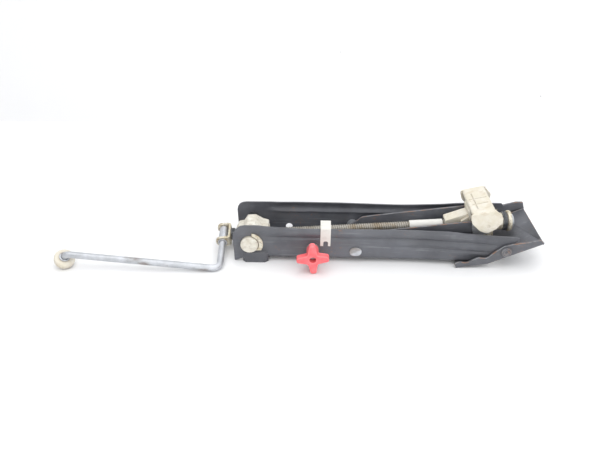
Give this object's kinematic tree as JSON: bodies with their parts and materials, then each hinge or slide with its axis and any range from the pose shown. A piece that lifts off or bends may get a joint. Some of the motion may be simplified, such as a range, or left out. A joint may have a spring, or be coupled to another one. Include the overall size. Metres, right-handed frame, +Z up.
{
  "type": "scissor jack",
  "caption": "Stowed emergency scissor jack: pressed steel leg and arm, swinging foot, screw spindle with folding crank, plastic head saddle and red star knob.",
  "frame": {"origin": "centre of the object's floor outline, on the floor it lies on", "axes": "+X along the leg from the crank towards the foot, +Y away from the side with the knob, +Z up"},
  "size_m": [0.6382, 0.1176, 0.0815],
  "materials": {
    "black_paint": "painted",
    "zinc_yellow": "zinc plated",
    "galvanised": "galvanised",
    "cream_plastic": "moulded",
    "thread_steel": "worn, greased",
    "white_label": "matte",
    "red_plastic": "satin moulded",
    "dark_steel": "blackened"
  },
  "bodies": {
    "leg": {"leg_channel": "black_paint", "trunnion_retainer_front": "zinc_yellow", "trunnion_retainer_back": "zinc_yellow", "main_pivot_pin": "galvanised", "pivot_spacer_front": "galvanised", "pivot_spacer_back": "galvanised", "storage_clip": "white_label", "foot_rivet_front": "black_paint", "foot_rivet_back": "black_paint", "knob_stud": "galvanised"},
    "knob": {"star_knob": "red_plastic", "knob_washer": "galvanised"},
    "nut": {"trunnion_nut": "zinc_yellow", "trunnion_back_pin": "dark_steel"},
    "arm": {"arm_channel": "black_paint"},
    "end_block": {"end_trunnion": "zinc_yellow"},
    "head": {"head_bracket": "galvanised", "head_saddle": "cream_plastic"},
    "spindle": {"thrust_cone": "zinc_yellow", "thrust_bearing": "dark_steel", "thrust_ring": "zinc_yellow", "spindle_end_nut": "galvanised", "spindle_screw": "thread_steel", "stop_collar": "dark_steel", "spindle_label": "white_label", "crank_yoke": "zinc_yellow", "crank_pin_sleeve": "galvanised"},
    "crank": {"crank_rod": "galvanised", "crank_pin_washer": "zinc_yellow", "crank_stop_ring": "galvanised", "grip_cup": "galvanised"},
    "grip": {"grip_roller": "cream_plastic"},
    "foot": {"foot_plate": "black_paint"}
  },
  "joints": [
    {"name": "arm_fold", "type": "hinge", "parent": "leg", "child": "arm", "pos_m": [0.076, 0.00987, 0.0176], "axis": [0, -1, 0], "range_deg": [0, 100]},
    {"name": "nut_swing", "type": "hinge", "parent": "leg", "child": "nut", "pos_m": [-0.0645, 0.00987, 0.0268], "axis": [0, -1, 0], "range_deg": [0, 57.61]},
    {"name": "spindle_swing", "type": "hinge", "parent": "arm", "child": "end_block", "pos_m": [0.2475, 0.00987, 0.0505], "axis": [0, -1, 0], "range_deg": [-42.41, 0]},
    {"name": "head_tilt", "type": "hinge", "parent": "end_block", "child": "head", "pos_m": [0.2475, 0.00987, 0.0505], "axis": [0, -1, 0], "range_deg": [-20, 0]},
    {"name": "spindle_spin", "type": "hinge", "parent": "end_block", "child": "spindle", "pos_m": [0.24797, 0.00987, 0.04432], "axis": [0.9971, 0, 0.0757], "continuous": true},
    {"name": "crank_fold", "type": "hinge", "parent": "spindle", "child": "crank", "pos_m": [-0.10342, 0.00987, 0.01763], "axis": [-0.0164, 0.9763, 0.2158], "range_deg": [-10, 150]},
    {"name": "grip_spin", "type": "hinge", "parent": "crank", "child": "grip", "pos_m": [-0.30161, -0.05086, 0.02118], "axis": [-0.3327, 0.3974, -0.8552], "continuous": true},
    {"name": "foot_pivot", "type": "hinge", "parent": "leg", "child": "foot", "pos_m": [0.2721, 0.00987, 0.0265], "axis": [0, -1, 0], "range_deg": [0, 16]},
    {"name": "knob_turn", "type": "hinge", "parent": "leg", "child": "knob", "pos_m": [0.019, -0.04013, 0.0215], "axis": [0, -1, 0], "continuous": true}
  ],
  "couplings": [
    {"joint": "nut_swing", "follows": "arm_fold", "ratio": 0.576},
    {"joint": "spindle_swing", "follows": "arm_fold", "ratio": -0.424}
  ]
}
